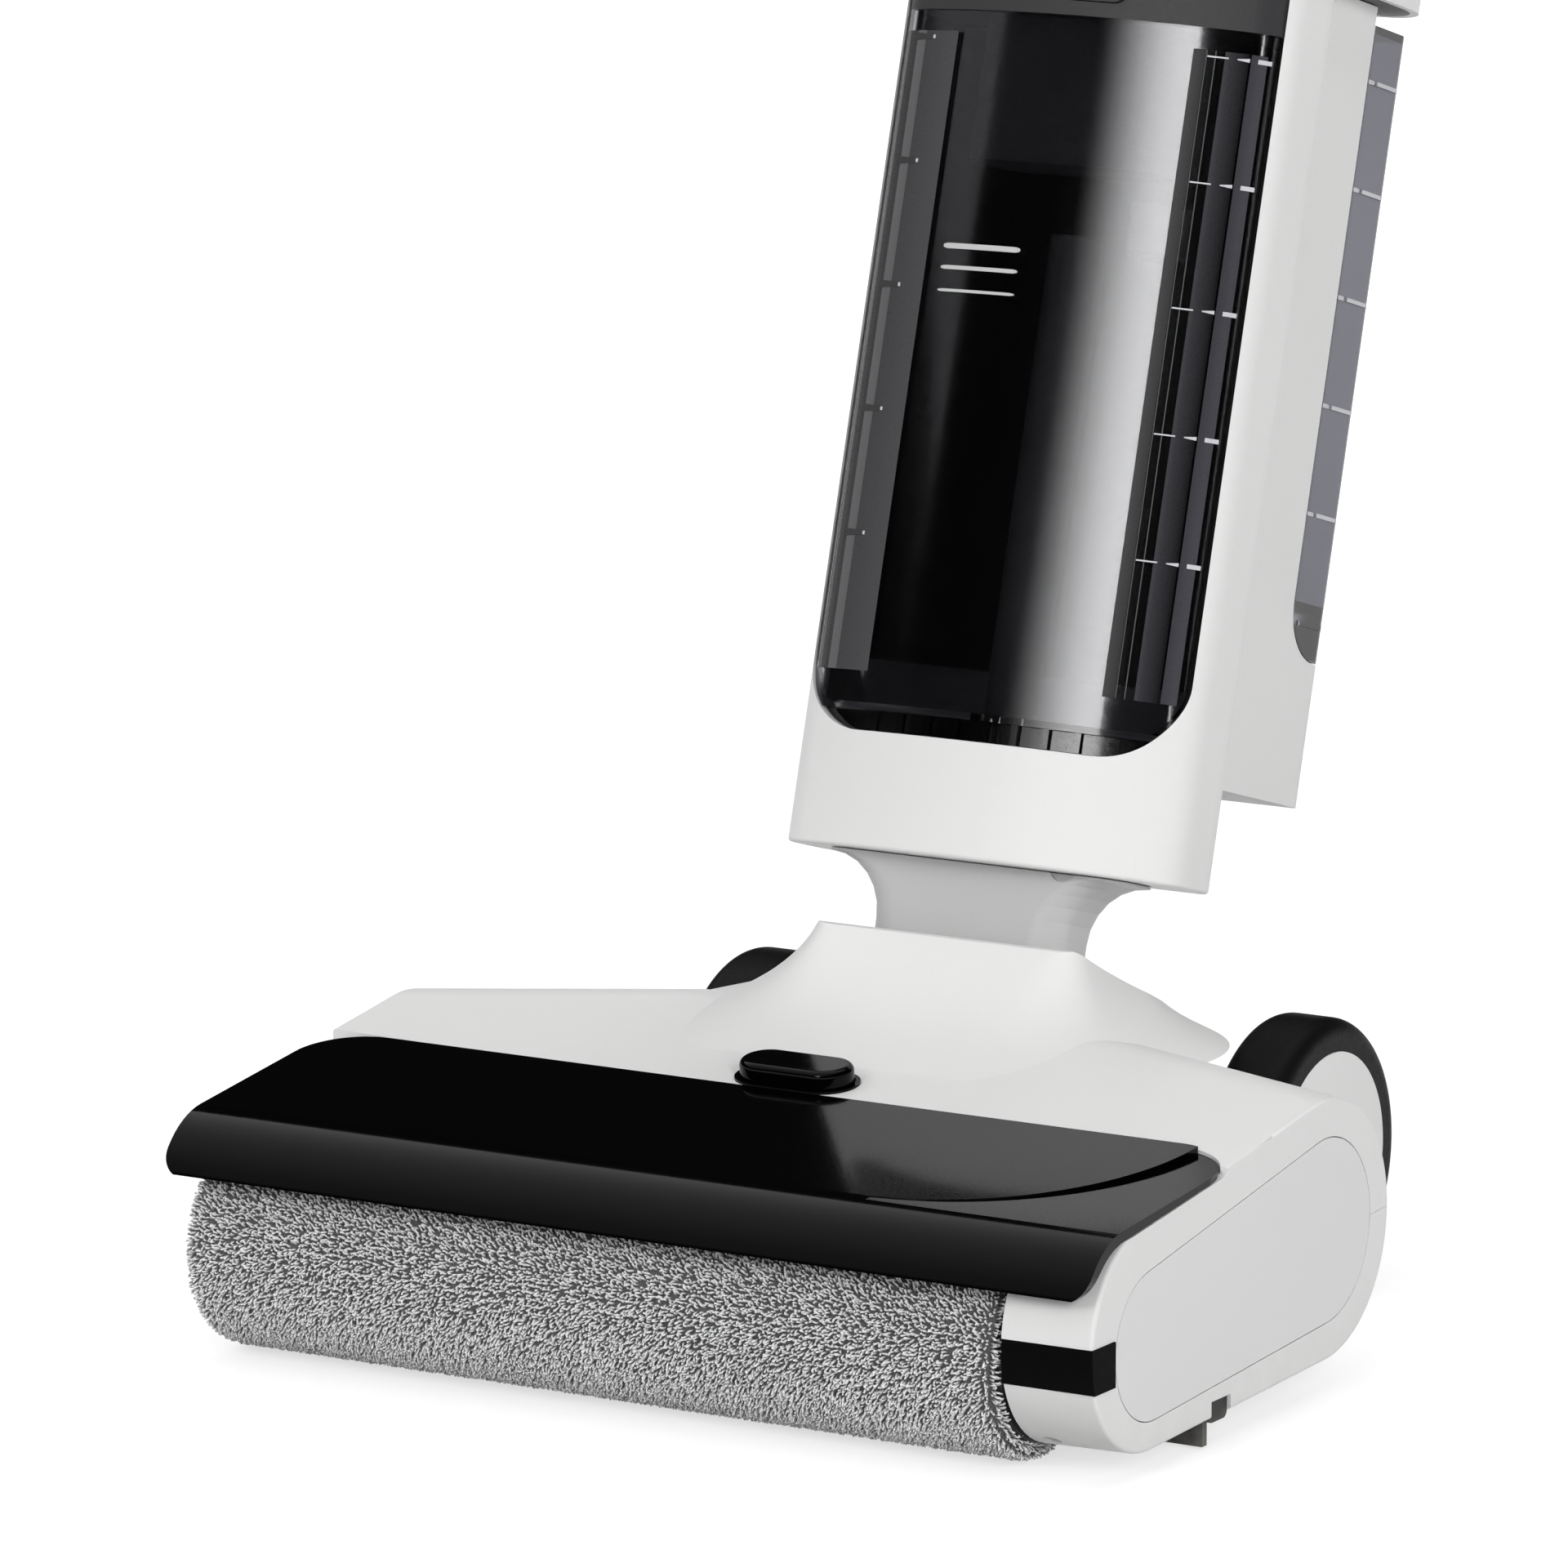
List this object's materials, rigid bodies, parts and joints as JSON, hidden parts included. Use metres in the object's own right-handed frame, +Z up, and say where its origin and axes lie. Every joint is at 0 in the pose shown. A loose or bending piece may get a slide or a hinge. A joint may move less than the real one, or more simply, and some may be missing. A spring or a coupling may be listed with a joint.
{
  "type": "wet dry floor scrubber",
  "caption": "Upright wet and dry floor scrubber with a pile roller head, belt drive, rear wheels, reclining swivel neck, lift-out clean and dirty water tanks and a keyed grip.",
  "frame": {"origin": "on the floor under the middle of the whole machine's bounding box", "axes": "+X to the right seen from the front, +Y towards the rear, where the handle leans, +Z up"},
  "size_m": [0.2804, 0.4988, 1.0326],
  "materials": {
    "white_shell": "satin white moulding",
    "grey_panel": "fine grained pale grey moulding",
    "black_gloss": "polished black moulding",
    "black_soft": "matt black rubber",
    "tyre": "matt black tread rubber",
    "pile": "short grey pile",
    "dark_inner": "matt dark moulding",
    "smoke_clear": "clear smoke grey moulding",
    "steel": "plain steel",
    "motor_can": "zinc coated can",
    "fan_can": "cast aluminium",
    "belt": "black belt rubber",
    "contact": "plated contact",
    "filter_foam": "dark filter cloth",
    "float_white": "white foam plastic",
    "board": "green board",
    "tube": "satin anodised",
    "grip_soft": "matt dark grey moulding",
    "lens": "dark display window"
  },
  "bodies": {
    "head": {"head_upper_shell": "white_shell", "head_lower_shell": "white_shell", "end_panel": "grey_panel", "bumper_strip": "black_soft", "left_end_arm": "white_shell", "drive_motor": "motor_can", "drive_belt": "belt", "scraper_bar": "dark_inner", "spray_bar": "dark_inner", "squeegee": "black_soft", "floor_skid": "dark_inner", "suction_duct": "dark_inner", "wheel_axle": "steel", "button_bezel": "dark_inner", "release_spring": "steel", "charge_contacts": "contact", "base_screws": "steel", "neck_pins": "steel"},
    "roller": {"roller_core": "grey_panel", "roller_sleeve": "pile", "roller_idle_plug": "dark_inner", "roller_pulley": "dark_inner"},
    "motor_rotor": {"motor_pulley": "steel"},
    "wheel_left": {"tyre_left": "tyre", "hub_left": "white_shell"},
    "wheel_right": {"tyre_right": "tyre", "hub_right": "white_shell"},
    "cover": {"roller_cover": "black_gloss"},
    "cover_release": {"release_button": "black_gloss"},
    "neck": {"neck": "white_shell"},
    "upright": {"swivel_stem": "dark_inner", "body_frame": "white_shell", "bay_liner": "dark_inner", "rear_housing": "grey_panel", "upper_housing": "white_shell", "display_lens": "lens", "battery_pack": "dark_inner", "control_board": "board", "water_pump": "dark_inner", "fan_floor": "dark_inner", "fan_shroud": "dark_inner", "fan_motor": "fan_can", "handle_tube": "tube", "grip": "grip_soft"},
    "fan": {"fan_impeller": "dark_inner"},
    "power_switch": {"power_key": "black_gloss"},
    "mode_switch": {"mode_key": "black_gloss"},
    "self_clean_switch": {"self_clean_key": "black_gloss"},
    "dirty_water_tank": {"dirty_tank": "smoke_clear", "dirty_tank_foot": "dark_inner", "dirty_tank_lid": "black_gloss", "standpipe": "dark_inner", "tank_filter": "filter_foam"},
    "tank_release": {"tank_latch": "grey_panel"},
    "level_float": {"tank_float": "float_white"},
    "clean_water_tank": {"clean_tank": "smoke_clear", "clean_tank_cap": "dark_inner"}
  },
  "joints": [
    {"name": "roller_spin", "type": "hinge", "parent": "head", "child": "roller", "pos_m": [0, -0.21864, 0.03], "axis": [1, 0, 0], "continuous": true},
    {"name": "motor_spin", "type": "hinge", "parent": "head", "child": "motor_rotor", "pos_m": [0.114, -0.12664, 0.044], "axis": [1, 0, 0], "continuous": true},
    {"name": "wheel_left_spin", "type": "hinge", "parent": "head", "child": "wheel_left", "pos_m": [-0.083, -0.03104, 0.0388], "axis": [1, 0, 0], "continuous": true},
    {"name": "wheel_right_spin", "type": "hinge", "parent": "head", "child": "wheel_right", "pos_m": [0.083, -0.03104, 0.0388], "axis": [1, 0, 0], "continuous": true},
    {"name": "cover_lift", "type": "slide", "parent": "head", "child": "cover", "axis": [0, 0, 1], "range_m": [0, 0.06]},
    {"name": "cover_release_press", "type": "slide", "parent": "head", "child": "cover_release", "axis": [0, 0.1154, -0.9933], "range_m": [0, 0.0025], "stiffness_N_per_m": 800, "deforming": ["release_spring"]},
    {"name": "recline", "type": "hinge", "parent": "head", "child": "neck", "pos_m": [0, -0.06364, 0.074], "axis": [-1, 0, 0], "range_deg": [-16, 50]},
    {"name": "swivel", "type": "hinge", "parent": "neck", "child": "upright", "pos_m": [0, -0.05426, 0.11396], "axis": [0, 0.2756, 0.9613], "range_deg": [-25, 25]},
    {"name": "fan_spin", "type": "hinge", "parent": "upright", "child": "fan", "pos_m": [0, 0.04116, 0.35604], "axis": [0, 0.2756, 0.9613], "continuous": true},
    {"name": "power_press", "type": "slide", "parent": "upright", "child": "power_switch", "axis": [0, 0.9613, -0.2756], "range_m": [0, 0.0015], "stiffness_N_per_m": 500},
    {"name": "mode_press", "type": "slide", "parent": "upright", "child": "mode_switch", "axis": [0, 0.9613, -0.2756], "range_m": [0, 0.0015], "stiffness_N_per_m": 500},
    {"name": "self_clean_press", "type": "slide", "parent": "upright", "child": "self_clean_switch", "axis": [0, -0.2756, -0.9613], "range_m": [0, 0.0015], "stiffness_N_per_m": 500},
    {"name": "dirty_tank_pull", "type": "slide", "parent": "upright", "child": "dirty_water_tank", "axis": [0, -0.9613, 0.2756], "range_m": [0, 0.12]},
    {"name": "tank_release_press", "type": "slide", "parent": "dirty_water_tank", "child": "tank_release", "axis": [0, 0.9613, -0.2756], "range_m": [0, 0.0035], "stiffness_N_per_m": 400},
    {"name": "float_rise", "type": "slide", "parent": "dirty_water_tank", "child": "level_float", "axis": [0, 0.2756, 0.9613], "range_m": [0, 0.008]},
    {"name": "clean_tank_pull", "type": "slide", "parent": "upright", "child": "clean_water_tank", "axis": [0, 0.9613, -0.2756], "range_m": [0, 0.06]}
  ],
  "couplings": [
    {"joint": "motor_spin", "follows": "roller_spin", "ratio": 2}
  ]
}
